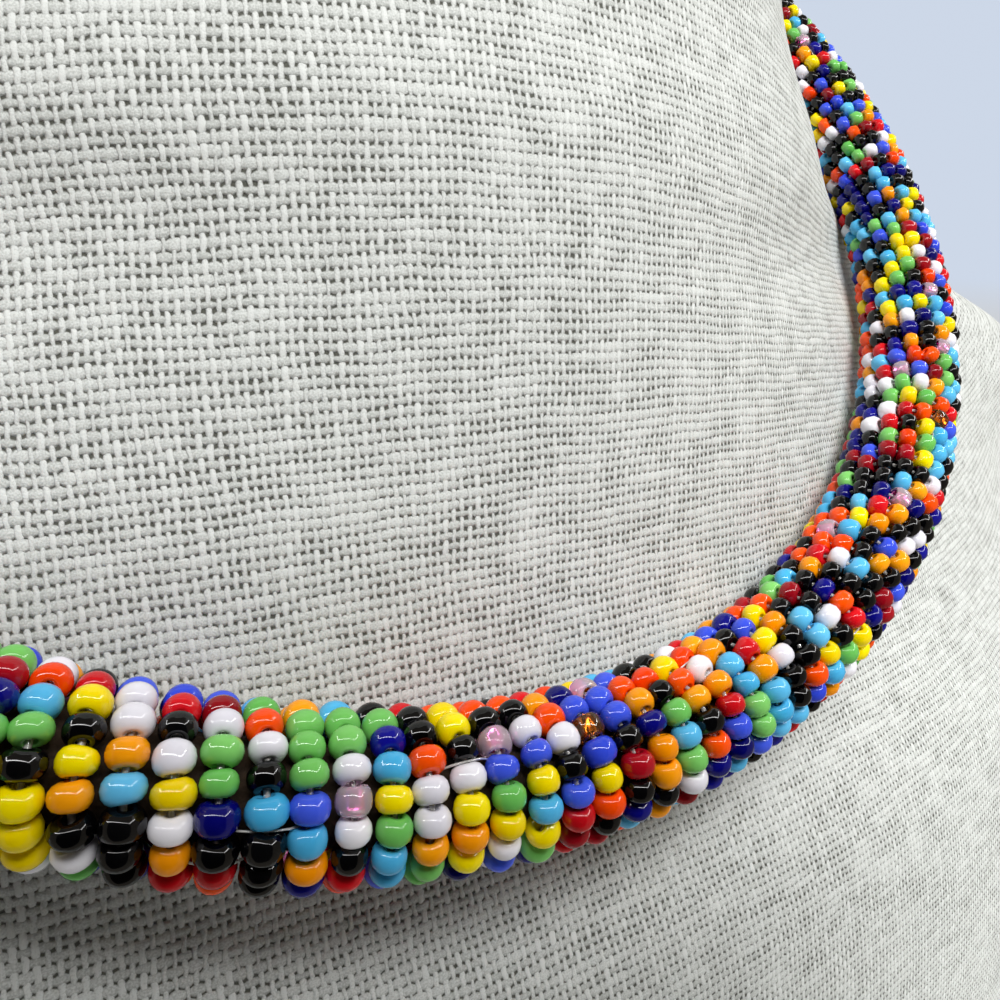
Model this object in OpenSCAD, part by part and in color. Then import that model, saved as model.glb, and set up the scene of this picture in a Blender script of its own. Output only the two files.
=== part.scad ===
/*
Beaded collar necklace on a display bust.
One string of small glass beads is wound round a padded cord, and the
rope that it makes closes behind the neck with a barrel clasp.
The loop lies aslant: low on the breast and high on the nape.
x runs to the right seen from the front, -y is the front, z is up.
*/

/* [Rope] */
// Thickness of the rope over its beads
rope_d = 11.3; // [11.2:0.1:11.5]
// Diameter of one bead
bead_d = 2.2; // [2:0.1:2.3]
// Thickness of the padded cord inside the beads
core_d = 6.4; // [5.8:0.1:6.4]

/* [Loop] */
// Half of the loop's width, to the middle of the rope
loop_half_width = 79.6; // [79:0.1:81]
// Half of the loop's length from breast to nape, to the middle of the rope
loop_half_length = 85.3; // [85:0.1:86]
// Angle at which the loop rises from breast to nape, in degrees
loop_tilt = 44.3; // [43.5:0.1:45]
// How far the sides stand proud of the loop's plane
loop_twist = 2.6; // [2:0.1:3]
// How much the loop is wider behind than in front, as a share
loop_egg = 0.035; // [0.02:0.005:0.05]

/* [Clasp] */
// Length of the barrel between its two bells
barrel_l = 11; // [9:0.5:12]
// Diameter of the barrel
barrel_d = 6.4; // [5.5:0.1:7]
// Length of each bell, from the barrel to the rope's end
bell_l = 4.5; // [4:0.1:5]
// Depth of the cup in each bell that takes the rope's end
cup_depth = 5; // [4:0.5:6]

/* [Bust] */
// Height of the loop's middle above the base
loop_height = 150; // [148:1:155]
// Radius of the neck's top edge
top_edge_r = 9; // [6:1:12]
// Radius of the base's edge
base_edge_r = 4; // [3:0.5:6]

/* [Hidden] */

// Rows of the bust from its base to the top of its neck.
// Heights count from the middle of the loop.
// Hollow is 1 where the section is an ellipse, and more where it pulls in between the neck and the shoulder's tip.
// Rim is half of the thickness that the section keeps out to its tip.
HEIGHT = 0;
HALF_WIDTH = 1;
FRONT = 2;
BACK = 3;
HOLLOW = 4;
RIM = 5;
bust_rows = [
    // height, half width, front, back, hollow, rim
    [-150, 134, 72, 58, 0.8, 16],
    [-115, 142, 69.5, 60, 0.9, 16],
    [-85, 151, 64.5, 61, 1.5, 15],
    [-65, 158, 53.8, 62, 3.1, 14],
    [-50, 160, 50.3, 62, 5.6, 14],
    [-38, 149, 49.5, 61, 7.6, 13.5],
    [-28, 122, 48.7, 60, 6.6, 12],
    [-18, 88.5, 47.5, 59, 3.2, 7.5],
    [-8, 77, 44.5, 58, 2.1, 4],
    [4, 71, 42, 57, 2, 0],
    [20, 63, 40.5, 56, 1.7, 0],
    [45, 53, 40, 55, 1.3, 0],
    [88, 49, 39.5, 54, 1.1, 0]
];
last_row = len(bust_rows) - 1;
// Most that the back's sections pull in.
back_hollow = 1.6;
// The higher it is, the blunter the shoulder's tip.
rim_blunt = 8;
// Tallest step between two levels of the bust.
level_step = 6.6;
edge_steps = 4;
ring_points = 48;
sweep_sides = 14;
core_sides = 8;
sweep_rings = 72;
// Clearance behind the rope's ends and round them in the clasp's cups, and the thickness of a cup's wall.
fit_gap = 0.3;
cup_gap = 0.45;
wall = 0.9;
chamfer = 0.3;
cap_r = rope_d / 2 + cup_gap + wall;

// Where the rope stops on each side of the clasp, in degrees of the loop.
rope_end_gap = barrel_l / 2 + bell_l;
end_angle = asin(rope_end_gap / loop_half_width);
first_t = 90 + end_angle;
sweep_t = 360 - 2 * end_angle;

// The whole stands with its box centred over the origin.
base_front = bust_rows[0][FRONT];
back_reach = loop_half_length * cos(loop_tilt) + loop_twist * sin(loop_tilt) + cap_r;
shift_y = (base_front - back_reach) / 2;

function unit(v) = v / norm(v);

// Middle line of the rope. The angle is 0 at the right side, 90 behind and 270 in front.
function loop_point(t) =
    let (x = loop_half_width * cos(t) * (1 + loop_egg * sin(t)))
    let (v = loop_half_length * sin(t))
    let (w = loop_twist * cos(2 * t))
    [x, v * cos(loop_tilt) - w * sin(loop_tilt), v * sin(loop_tilt) + w * cos(loop_tilt)];

function loop_tangent(t) = unit(loop_point(t + 0.5) - loop_point(t - 0.5));
loop_normal = [0, -sin(loop_tilt), cos(loop_tilt)];

// Ring of points round the rope's middle line.
function rope_ring(t, r, sides) =
    let (side = unit(cross(loop_tangent(t), loop_normal)))
    let (lift = cross(side, loop_tangent(t)))
    [for (k = [0:sides - 1])
        let (a = 360 * k / sides)
        loop_point(t) + r * (cos(a) * side + sin(a) * lift)];

function ring_faces(rings, sides, start, flip) =
    [for (i = [0:rings - 2], k = [0:sides - 1])
        let (a = start + i * sides + k)
        let (b = start + i * sides + (k + 1) % sides)
        each flip
            ? [[a, a + sides, b], [b, a + sides, b + sides]]
            : [[a, b, a + sides], [b, b + sides, a + sides]]];

function sweep_points(r, sides) =
    [for (i = [0:sweep_rings - 1])
        each rope_ring(first_t + sweep_t * i / (sweep_rings - 1), r, sides)];

// Slope of one column at a row, level where the column turns, so that the curve never overshoots its rows.
function row_slope(i, column) =
    let (below = max(i - 1, 0))
    let (above = min(i + 1, last_row))
    let (h0 = bust_rows[i][HEIGHT] - bust_rows[below][HEIGHT])
    let (h1 = bust_rows[above][HEIGHT] - bust_rows[i][HEIGHT])
    let (d0 = h0 > 0 ? (bust_rows[i][column] - bust_rows[below][column]) / h0 : 0)
    let (d1 = h1 > 0 ? (bust_rows[above][column] - bust_rows[i][column]) / h1 : 0)
    d0 * d1 <= 0 ? 0 : 3 * (h0 + h1) / ((2 * h1 + h0) / d0 + (h1 + 2 * h0) / d1);

function row_value(i, f, column) =
    let (h = bust_rows[i + 1][HEIGHT] - bust_rows[i][HEIGHT])
    let (f2 = f * f)
    let (f3 = f2 * f)
    (2 * f3 - 3 * f2 + 1) * bust_rows[i][column]
    + (f3 - 2 * f2 + f) * h * row_slope(i, column)
    + (3 * f2 - 2 * f3) * bust_rows[i + 1][column]
    + (f3 - f2) * h * row_slope(i + 1, column);

function row_at(i, f) = [for (column = [HEIGHT:RIM]) row_value(i, f, column)];

// Every level of the bust: a few between each two rows.
bust_levels = [
    for (i = [0:last_row - 1])
        let (steps = ceil((bust_rows[i + 1][HEIGHT] - bust_rows[i][HEIGHT]) / level_step))
        for (s = [0:steps - 1])
            row_at(i, s / steps),
    bust_rows[last_row]
];
last_level = len(bust_levels) - 1;

// Depth of a section at one of its points, from the share of its width that the point lies out at.
function depth(out, reach, hollow, rim) =
    let (swell = reach - rim)
    rim * sqrt(1 - pow(out, rim_blunt)) + swell * pow(1 - out * out, hollow / 2);

// One closed section of the bust, drawn in by an inset where the bust is rounded off.
function bust_ring(row, inset, z) =
    [for (k = [0:ring_points - 1])
        let (a = 360 * k / ring_points)
        let (out = min(abs(cos(a)), 1))
        let (front = -depth(out, row[FRONT] - inset, row[HOLLOW], row[RIM]))
        let (back = depth(out, row[BACK] - inset, min(row[HOLLOW], back_hollow), row[RIM]))
        [(row[HALF_WIDTH] - inset) * cos(a), a > 180 ? front : back, z]];

function base_edge(s) =
    let (a = 90 * s / edge_steps)
    let (row = bust_levels[0])
    bust_ring(row, base_edge_r * (1 - sin(a)), row[HEIGHT] + base_edge_r * (1 - cos(a)));

function top_edge(s) =
    let (a = 90 * s / edge_steps)
    let (row = bust_levels[last_level])
    bust_ring(row, top_edge_r * (1 - cos(a)), row[HEIGHT] - top_edge_r * (1 - sin(a)));

bust_rings = [
    for (s = [0:edge_steps - 1]) base_edge(s),
    for (row = bust_levels)
        if (row[HEIGHT] > bust_rows[0][HEIGHT] + base_edge_r
            && row[HEIGHT] < bust_rows[last_row][HEIGHT] - top_edge_r)
            bust_ring(row, 0, row[HEIGHT]),
    for (s = [0:edge_steps]) top_edge(s)
];

module in_place() {
    translate([0, shift_y, loop_height])
        children();
}

module bust() {
    points = [for (ring = bust_rings) each ring];
    rings = len(bust_rings);
    base = [for (k = [0:ring_points - 1]) k];
    top = [for (k = [ring_points - 1:-1:0]) (rings - 1) * ring_points + k];
    color("antiquewhite")
        in_place()
            polyhedron(points, [base, top, each ring_faces(rings, ring_points, 0, true)]);
}

module rope_core() {
    points = sweep_points(core_d / 2, core_sides);
    first = [for (k = [core_sides - 1:-1:0]) k];
    last = [for (k = [0:core_sides - 1]) (sweep_rings - 1) * core_sides + k];
    color("saddlebrown")
        in_place()
            polyhedron(points, [first, last, each ring_faces(sweep_rings, core_sides, 0, false)]);
}

module bead_winding() {
    inner_r = rope_d / 2 - bead_d;
    inner_start = sweep_rings * sweep_sides;
    outer = sweep_points(rope_d / 2, sweep_sides);
    inner = sweep_points(inner_r, sweep_sides);
    ends = [
        for (end = [0, sweep_rings - 1], k = [0:sweep_sides - 1])
            let (a = end * sweep_sides + k)
            let (b = end * sweep_sides + (k + 1) % sweep_sides)
            each end == 0
                ? [[a, a + inner_start, b], [b, a + inner_start, b + inner_start]]
                : [[a, b, a + inner_start], [b, b + inner_start, a + inner_start]]
    ];
    color("royalblue")
        in_place()
            polyhedron([each outer, each inner], [
                each ring_faces(sweep_rings, sweep_sides, 0, false),
                each ring_faces(sweep_rings, sweep_sides, inner_start, true),
                each ends
            ]);
}

// Bell that takes one end of the rope in its cup and narrows to the barrel.
module bell(side) {
    t = 90 - side * end_angle;
    along = -side * loop_tangent(t);
    yaw = atan2(along[1], along[0]);
    pitch = -asin(along[2]);
    bottom = -fit_gap;
    neck_r = barrel_d / 2 + wall;
    translate(loop_point(t))
        rotate([0, pitch, yaw])
            rotate([0, 90, 0])
                rotate_extrude($fn = 48)
                    polygon([
                        [0, -bell_l],
                        [neck_r - chamfer, -bell_l],
                        [neck_r, chamfer - bell_l],
                        [cap_r - 2 * wall, bottom - 2 * wall],
                        [cap_r - wall / 2, bottom - wall],
                        [cap_r, bottom],
                        [cap_r, cup_depth - chamfer],
                        [cap_r - chamfer, cup_depth],
                        [cap_r - wall, cup_depth],
                        [cap_r - wall, bottom],
                        [0, bottom]
                    ]);
}

// Two halves of a barrel that meet in a fine groove. Each end is sunk in its bell.
module barrel() {
    r = barrel_d / 2;
    half = barrel_l / 2 + bell_l / 2;
    translate(loop_point(90))
        rotate([0, 90, 0])
            rotate_extrude($fn = 48)
                polygon([
                    [0, -half],
                    [r, -half],
                    [r, -chamfer],
                    [r - chamfer, 0],
                    [r, chamfer],
                    [r, half],
                    [0, half]
                ]);
}

module clasp() {
    color("silver")
        in_place()
            union() {
                barrel();
                for (side = [-1, 1])
                    bell(side);
            }
}

bust();
rope_core();
bead_winding();
clasp();
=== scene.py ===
"""Beaded collar necklace on a linen-covered neck bust.

One string of small pressed glass beads is wound round a padded cord. The rope
closes behind the neck with a barrel clasp and lies round a bust that is covered
in plain-woven linen. Lengths are in metres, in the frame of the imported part.
"""

import logging
import math
from dataclasses import dataclass, field
from enum import Enum
from functools import partial
from typing import Callable, Iterable, Sequence

import bpy
import numpy as np
from mathutils import Matrix, Vector


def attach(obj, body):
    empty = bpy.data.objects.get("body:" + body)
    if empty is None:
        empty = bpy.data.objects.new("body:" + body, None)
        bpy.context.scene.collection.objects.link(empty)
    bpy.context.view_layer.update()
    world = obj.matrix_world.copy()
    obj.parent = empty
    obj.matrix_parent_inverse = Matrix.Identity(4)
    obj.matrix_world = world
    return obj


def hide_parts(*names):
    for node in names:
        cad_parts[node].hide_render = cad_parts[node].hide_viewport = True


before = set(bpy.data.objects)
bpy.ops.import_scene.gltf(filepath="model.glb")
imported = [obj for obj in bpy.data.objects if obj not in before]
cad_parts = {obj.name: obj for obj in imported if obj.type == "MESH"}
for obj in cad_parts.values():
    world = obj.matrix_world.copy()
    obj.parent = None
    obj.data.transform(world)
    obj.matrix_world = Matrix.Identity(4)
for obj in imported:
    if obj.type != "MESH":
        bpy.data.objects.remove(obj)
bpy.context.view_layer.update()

LOG = logging.getLogger("collar")
MM = 0.001
BODY = "root"
GLASS_IOR = 1.52
# Values that a grain mostly keeps to.
GRAIN_RANGE = (0.3, 0.7)

Socket = bpy.types.NodeSocket
Tree = bpy.types.NodeTree
Material = bpy.types.Material
Piece = bpy.types.Object
Adder = Callable[..., Socket]
Mesh = tuple[np.ndarray, np.ndarray]

MATH = "ShaderNodeMath"
VECTOR = "ShaderNodeVectorMath"
NOISE = "ShaderNodeTexNoise"
RANGE = "ShaderNodeMapRange"
MIX = "ShaderNodeMix"
JOIN = "ShaderNodeCombineXYZ"
SPLIT = "ShaderNodeSeparateXYZ"
FLAT = {"noise_dimensions": "2D"}


# Helpers for colour, nodes and meshes


def linear(code: str) -> tuple[float, float, float, float]:
    """Turn an sRGB hex colour to linear light.

    Args:
        code: Six hex digits with a leading hash.

    Returns:
        Red, green, blue and an alpha of 1.
    """
    parts = [int(code[i : i + 2], 16) / 255 for i in (1, 3, 5)]
    light = [p / 12.92 if p <= 0.04045 else ((p + 0.055) / 1.055) ** 2.4 for p in parts]
    return light[0], light[1], light[2], 1.0


def add_node(
    tree: Tree, kind: str, inputs: dict | Sequence = (), out: int = 0, **settings
) -> Socket | None:
    """Add one node with its settings, values and links.

    Args:
        tree: Node tree that takes the node.
        kind: Blender's name of the node type.
        inputs: Values or sockets for the inputs, by name or in order.
        out: Which output to return.
        settings: Attributes of the node, set first.

    Returns:
        The chosen output, or None where the node has none.
    """
    node = tree.nodes.new(kind)
    for key, value in settings.items():
        setattr(node, key, value)
    for key, value in inputs.items() if isinstance(inputs, dict) else enumerate(inputs):
        if isinstance(value, Socket):
            tree.links.new(value, node.inputs[key])
        else:
            node.inputs[key].default_value = value
    return node.outputs[out] if node.outputs else None


def make_piece(
    name: str, points: np.ndarray, quads: np.ndarray, caps: Iterable[Sequence[int]] = ()
) -> Piece:
    """Make one smooth mesh object from arrays.

    Args:
        name: Name of the piece.
        points: Vertex places, in any grid of rows.
        quads: Vertex numbers of the four-sided faces.
        caps: Faces with other numbers of sides.

    Returns:
        The object, linked to the scene.
    """
    points = np.asarray(points, np.float32).reshape(-1, 3)
    quads = np.asarray(quads, np.int32).reshape(-1, 4)
    caps = [np.asarray(cap, np.int32) for cap in caps]
    corners = np.concatenate([quads.ravel(), *caps])
    sizes = np.array([4] * len(quads) + [len(cap) for cap in caps], np.int32)
    starts = np.concatenate([[0], np.cumsum(sizes)[:-1]]).astype(np.int32)
    mesh = bpy.data.meshes.new(name)
    mesh.vertices.add(len(points))
    mesh.vertices.foreach_set("co", points.ravel())
    mesh.loops.add(len(corners))
    mesh.loops.foreach_set("vertex_index", corners)
    mesh.polygons.add(len(sizes))
    mesh.polygons.foreach_set("loop_start", starts)
    mesh.polygons.foreach_set("use_smooth", np.ones(len(sizes), bool))
    mesh.update(calc_edges=True)
    mesh.validate()
    piece = bpy.data.objects.new(name, mesh)
    bpy.context.scene.collection.objects.link(piece)
    return piece


def grid_faces(rows: int, columns: int) -> np.ndarray:
    """Number the faces of a grid of points whose rows are closed rings.

    Args:
        rows: Number of rows of points.
        columns: Number of points in each row.

    Returns:
        Four vertex numbers for each face, row by row.
    """
    i, k = np.meshgrid(np.arange(rows - 1), np.arange(columns), indexing="ij")
    a = i * columns + k
    b = i * columns + (k + 1) % columns
    return np.stack([a, b, b + columns, a + columns], -1).reshape(-1, 4)


def unit(vectors: np.ndarray) -> np.ndarray:
    """Scale each row to length 1."""
    return vectors / np.linalg.norm(vectors, axis=-1, keepdims=True)


def circle(steps: int) -> np.ndarray:
    """Angles that share out one turn evenly."""
    return 2 * np.pi * np.arange(steps) / steps


def rings(
    centres: np.ndarray, side: np.ndarray, lift: np.ndarray, radius: np.ndarray
) -> np.ndarray:
    """Place rings of points round a line.

    Args:
        centres: Middle of each ring.
        side: Direction of each ring's first point.
        lift: Direction of each ring's point a quarter turn on.
        radius: Radius of each ring at each of its points.

    Returns:
        Points by ring and angle.
    """
    a = circle(radius.shape[1])[:, None]
    ring = np.cos(a) * side[..., None, :] + np.sin(a) * lift[..., None, :]
    return centres[:, None] + radius[..., None] * ring


def tube(centres: np.ndarray, radius: float, out: np.ndarray, sides: int) -> Mesh:
    """Make an open tube of one radius along a line.

    Args:
        centres: Middle of each ring.
        radius: Radius of all rings.
        out: A direction away from the line at each ring.
        sides: Points in each ring.

    Returns:
        All points, ring by ring, and the faces.
    """
    along = unit(np.gradient(centres, axis=0))
    side = unit(np.cross(along, out))
    radii = np.full((len(centres), sides), radius)
    points = rings(centres, side, np.cross(side, along), radii)
    return points.reshape(-1, 3), grid_faces(*points.shape[:2])


def join(parts: Iterable[Mesh]) -> Mesh:
    """Join several meshes into one.

    Args:
        parts: Points and faces of each.

    Returns:
        All points, and all faces with their numbers moved on.
    """
    points, faces = zip(*parts)
    first = np.cumsum([0] + [len(some) for some in points])
    return np.concatenate(points), np.concatenate([some + n for some, n in zip(faces, first)])


def settle(piece: Piece, slot: str, *materials: Material) -> Piece:
    """Dress a piece, tie it to the body and report it.

    Args:
        piece: The finished object.
        slot: Material slot of the record; not used.
        materials: Blender materials for its slots, in order.

    Returns:
        The same piece.
    """
    for material in materials:
        piece.data.materials.append(material)
    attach(piece, BODY)
    triangles = sum(len(face.vertices) - 2 for face in piece.data.polygons)
    LOG.info("%s: %d triangles", piece.name, triangles)
    return piece


# Finishes


@dataclass(frozen=True)
class Finish:
    """Base of every finish: one surface, mixed from a pale and a deep shade."""

    name: str
    pale: str
    deep: str

    def look(self, add: Adder) -> dict:
        """Give the inputs of the Principled shader."""
        raise NotImplementedError

    def mix(self, add: Adder, share: Socket) -> Socket:
        """Mix the deep shade, at 0, with the pale one, at 1."""
        ends = {0: share, 6: linear(self.deep), 7: linear(self.pale)}
        return add(MIX, ends, out=2, data_type="RGBA")

    @staticmethod
    def grain(
        add: Adder, size_mm: float, detail: float = 2.0, stretch: tuple | None = None
    ) -> Socket:
        """Draw a random grain in the object's own space.

        Args:
            add: Adds a node to the material.
            size_mm: Size of one grain.
            detail: How many finer grains are mixed in.
            stretch: How close the grains lie along each axis, where that differs.

        Returns:
            The grain, from 0 to 1.
        """
        place = add("ShaderNodeTexCoord", out=3)
        if stretch:
            place = add("ShaderNodeMapping", {"Vector": place, "Scale": stretch})
        inputs = {"Vector": place, "Scale": 1 / (size_mm * MM), "Detail": detail}
        return add(NOISE, inputs)

    @staticmethod
    def relief(add: Adder, height: Socket, depth_mm: float, strength: float = 1.0) -> Socket:
        """Turn a pattern into bumps of a given depth."""
        inputs = {"Strength": strength, "Distance": depth_mm * MM, "Height": height}
        return add("ShaderNodeBump", inputs)

    def build(self) -> Material:
        """Make the material.

        Returns:
            The material.
        """
        material = bpy.data.materials.new(self.name)
        material.use_nodes = True
        material.node_tree.nodes.clear()
        add = partial(add_node, material.node_tree)
        surface = add("ShaderNodeBsdfPrincipled", self.look(add))
        add("ShaderNodeOutputMaterial", {"Surface": surface})
        return material


@dataclass(frozen=True)
class PressedGlass(Finish):
    """Opaque glass, fire-polished after it is cut from a drawn cane.

    The melt smooths the surface, so lamps show as crisp lines, and each bead's
    colour differs a little with its cane.
    """

    streak_mm: float = 1.3
    streak: float = 0.12

    def look(self, add: Adder) -> dict:
        """Give each bead its shade, faint drawn streaks and a polish.

        Args:
            add: Adds a node to the material.

        Returns:
            The inputs of the Principled shader.
        """
        shade = add("ShaderNodeAttribute", out=2, attribute_name="shade")
        streak = self.grain(add, self.streak_mm)
        drift = add(RANGE, (streak, *GRAIN_RANGE, -self.streak, self.streak))
        mixed = add(MATH, (shade, drift), operation="ADD", use_clamp=True)
        return {"Base Color": self.mix(add, mixed), "Roughness": 0.07, "IOR": GLASS_IOR}


@dataclass(frozen=True)
class CrystalGlass(Finish):
    """Tinted glass round a lined hole, so the lining shows through it.

    The milkier it is, the more it scatters its own pale tint over the lining.
    """

    milky: float = 0.0

    def look(self, add: Adder) -> dict:
        """A tint that differs from bead to bead, and clear glass."""
        shade = add("ShaderNodeAttribute", out=2, attribute_name="shade")
        return {
            "Base Color": self.mix(add, shade),
            "Roughness": 0.03,
            "IOR": GLASS_IOR,
            "Transmission Weight": 1 - self.milky,
        }


@dataclass(frozen=True)
class MirrorLining(Finish):
    """Silvered or dyed lining inside a bead's hole, bright and slightly uneven."""

    def look(self, add: Adder) -> dict:
        """Metal that clouds over a fraction of a millimetre."""
        colour = self.mix(add, self.grain(add, size_mm=0.5))
        return {"Base Color": colour, "Roughness": 0.18, "Metallic": 1.0}


@dataclass(frozen=True)
class Linen(Finish):
    """Natural linen in plain weave, with slubs in its thicker weft.

    Round threads rise and dive past each other, which gives rows of small
    pillows and a dry, matt surface. The colour adds painted shade in the
    pinholes at the crossings and where a thread dives under the next.
    """

    name: str = "natural linen"
    pale: str = "#D9DCD9"
    deep: str = "#AFB2AE"
    # Painted shade for the pinholes between the threads.
    pinhole_shade: str = "#53544C"
    warp_mm: float = 0.62
    weft_mm: float = 0.80
    # Half of a thread's usual width, in pitches, and half of its thickness.
    warp_cover: float = 0.215
    weft_cover: float = 0.335
    warp_thick_mm: float = 0.13
    weft_thick_mm: float = 0.24
    crimp_mm: float = 0.10
    swell: float = 0.15
    uneven: float = 0.30
    # Where a thread lies in the noise: a step from thread to thread, one from set to set, and
    # one for each pitch along it. Then the noise's roughness and the values it keeps to.
    lane: float = 5.17
    set_apart: float = 97
    slow: float = 0.13
    rough: float = 0.62
    usual: tuple = (0.28, 0.72)
    # Power of a thread's round section, where 0.5 is a true circle, and how steeply the surface
    # falls away beside it.
    section: float = 0.7
    fall: float = 0.25
    # Millimetres over which crossing threads melt together and over which one hides the other,
    # and the depth of the cloth's ground.
    melt_mm: float = 0.06
    hide_mm: float = 0.03
    ground_mm: float = -0.5
    # How far the threads stray from a straight line, slowly and at short range.
    stray: tuple = ((1 / 7, 0.24), (1.5, 0.10))
    fibres_per_mm: float = 7.0
    fibre_mm: float = 0.09
    relief_mm: float = 0.26
    # Shades: how much the fibres fleck a thread, its range, the range of painted shade from the
    # depth in millimetres, how much paler the warp is, and the depth over which a pinhole
    # darkens with painted shade.
    fleck: float = 1.1
    shades: tuple = (0.75, 1.35, -0.1, 0.8)
    dive_shades: tuple = (-0.2, 0.1, -0.12, 0.16)
    warp_paler: float = 0.45
    pinhole: tuple = (-0.46, -0.14)

    def thread(
        self, add: Adder, across: Socket, along: Socket, wave: Socket, cover: float, thick: float
    ) -> tuple[Socket, Socket]:
        """Work out one set of parallel threads.

        Args:
            add: Adds a node to the material.
            across: Place across the threads, in pitches.
            along: Place along the threads, in pitches.
            wave: Rise of the threads, from -1 to 1, which swells them where they are on top.
            cover: Half of a thread's usual width, in pitches.
            thick: Half of a thread's thickness in millimetres.

        Returns:
            Height of the threads' surface in millimetres, low beside them, and a
            random number that varies slowly along each thread.
        """
        # Each thread has its own lane in one flat noise, and each set has its own part of it.
        number = add(MATH, (across,), operation="FLOOR")
        own = (number, self.lane, self.set_apart * cover)
        apart = add(MATH, own, operation="MULTIPLY_ADD")
        slow = add(MATH, (along, self.slow), operation="MULTIPLY")
        lane = add(JOIN, (apart, slow))
        noise = {"Vector": lane, "Scale": 1.0, "Detail": 2.0, "Roughness": self.rough}
        vary = add(NOISE, noise, **FLAT)
        ends = (cover * (1 - self.uneven), cover * (1 + self.uneven))
        even = add(RANGE, (vary, *self.usual, *ends))
        swell = add(MATH, (wave, self.swell, 1.0), operation="MULTIPLY_ADD")
        width = add(MATH, (even, swell), operation="MULTIPLY")
        inside = add(MATH, (across,), operation="FRACT")
        offset = add(MATH, (inside, 0.5), operation="SUBTRACT")
        share = add(MATH, (offset, width), operation="DIVIDE")
        square = add(MATH, (share, share), operation="MULTIPLY")
        # Roundness is 1 on a thread's middle line and falls below 0 beside it.
        roundness = add(MATH, (1.0, square), operation="SUBTRACT")
        held = add(MATH, (roundness, 0.0), operation="MAXIMUM")
        section = add(MATH, (held, self.section), operation="POWER")
        crown = add(MATH, (section, thick, -thick), operation="MULTIPLY_ADD")
        risen = add(MATH, (wave, self.crimp_mm, crown), operation="MULTIPLY_ADD")
        beside = add(MATH, (roundness, 0.0), operation="MINIMUM")
        return add(MATH, (beside, self.fall, risen), operation="MULTIPLY_ADD"), vary

    def places(self, add: Adder, cloth: Socket) -> list[tuple[Socket, Socket, Socket]]:
        """Find where a point lies in the weave.

        The sine turns over once a pitch, so it gives the rise past each crossing
        thread, and its sign tells odd threads from even ones.

        Args:
            add: Adds a node to the material.
            cloth: Cloth coordinates in millimetres.

        Returns:
            Place in pitches, sine and sign, across the warp and across the weft.
        """
        strayed = cloth
        for scale, reach_mm in self.stray:
            noise = {"Vector": cloth, "Scale": scale, "Detail": 1.0}
            drift = add(NOISE, noise, out=1, **FLAT)
            drift = add(VECTOR, (drift, (0.5, 0.5, 0.5)), operation="SUBTRACT")
            moved = {0: drift, 1: (2 * reach_mm,) * 3, 2: strayed}
            strayed = add(VECTOR, moved, operation="MULTIPLY_ADD")
        found = []
        for axis, pitch in enumerate((self.warp_mm, self.weft_mm)):
            mm = add(SPLIT, (strayed,), out=axis)
            place = add(MATH, (mm, pitch), operation="DIVIDE")
            turn = add(MATH, (place, math.pi), operation="MULTIPLY")
            sine = add(MATH, (turn,), operation="SINE")
            found.append((place, sine, add(MATH, (sine,), operation="SIGN")))
        return found

    def look(self, add: Adder) -> dict:
        """Work the weave out from its own geometry.

        Args:
            add: Adds a node to the material.

        Returns:
            The inputs of the Principled shader.
        """
        cloth = add("ShaderNodeUVMap", uv_map="cloth_mm")
        (u, sine_u, sign_u), (v, sine_v, sign_v) = self.places(add, cloth)
        rise_warp = add(MATH, (sine_v, sign_u), operation="MULTIPLY")
        sunk = add(MATH, (sine_u, sign_v), operation="MULTIPLY")
        rise_weft = add(MATH, (sunk, -1.0), operation="MULTIPLY")
        warp, vary_warp = self.thread(add, u, v, rise_warp, self.warp_cover, self.warp_thick_mm)
        weft, vary_weft = self.thread(add, v, u, rise_weft, self.weft_cover, self.weft_thick_mm)
        top = add(MATH, (warp, weft, self.melt_mm), operation="SMOOTH_MAX")
        surface = add(MATH, (top, self.ground_mm), operation="MAXIMUM")
        noise = {"Vector": cloth, "Scale": self.fibres_per_mm, "Detail": 1.0}
        fibre = add(NOISE, noise, **FLAT)
        fuzzy = add(MATH, (fibre, self.fibre_mm, surface), operation="MULTIPLY_ADD")
        # Each thread has its own shade, the warp is drawn paler than the greyer weft, both
        # take painted shade where they dive, and the pinholes take a dark painted shade.
        over = add(MATH, (warp, weft), operation="SUBTRACT")
        warp_on_top = add(RANGE, (over, -self.hide_mm, self.hide_mm, 0.0, 1.0))
        thread = add(MIX, {0: warp_on_top, 2: vary_weft, 3: vary_warp})
        flecked = add(MATH, (fibre, self.fleck, thread), operation="MULTIPLY_ADD")
        even = add(RANGE, (flecked, *self.shades))
        # Painted shade: the lower a thread lies where it dives, the darker it is drawn.
        dive = add(RANGE, (top, *self.dive_shades))
        dive_shaded = add(MATH, (even, dive), operation="ADD")
        paler = (warp_on_top, self.warp_paler, dive_shaded)
        shade = add(MATH, paler, operation="MULTIPLY_ADD", use_clamp=True)
        # Painted shade in the pinholes: the lower the surface, the more of the dark shade is mixed
        # in.
        gaps = (fuzzy, *self.pinhole, 0.0, 1.0)
        pinhole_shade_share = add(RANGE, gaps, interpolation_type="SMOOTHSTEP")
        depth = {0: pinhole_shade_share, 6: linear(self.pinhole_shade), 7: self.mix(add, shade)}
        return {
            "Base Color": add(MIX, depth, out=2, data_type="RGBA"),
            "Roughness": 0.92,
            "Normal": self.relief(add, fuzzy, self.relief_mm),
            "Sheen Weight": 0.12,
            "Sheen Roughness": 0.6,
        }


@dataclass(frozen=True)
class NylonLine(Finish):
    """Clear drawn nylon, which picks up glints and the colours beside it."""

    name: str = "clear nylon line"
    pale: str = "#FFFFFF"
    deep: str = "#CFCBC2"

    def look(self, add: Adder) -> dict:
        """Milky clear line, faintly ribbed along its length."""
        colour = self.mix(add, self.grain(add, size_mm=0.4))
        return {"Base Color": colour, "Roughness": 0.12, "IOR": 1.53, "Transmission Weight": 0.55}


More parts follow.
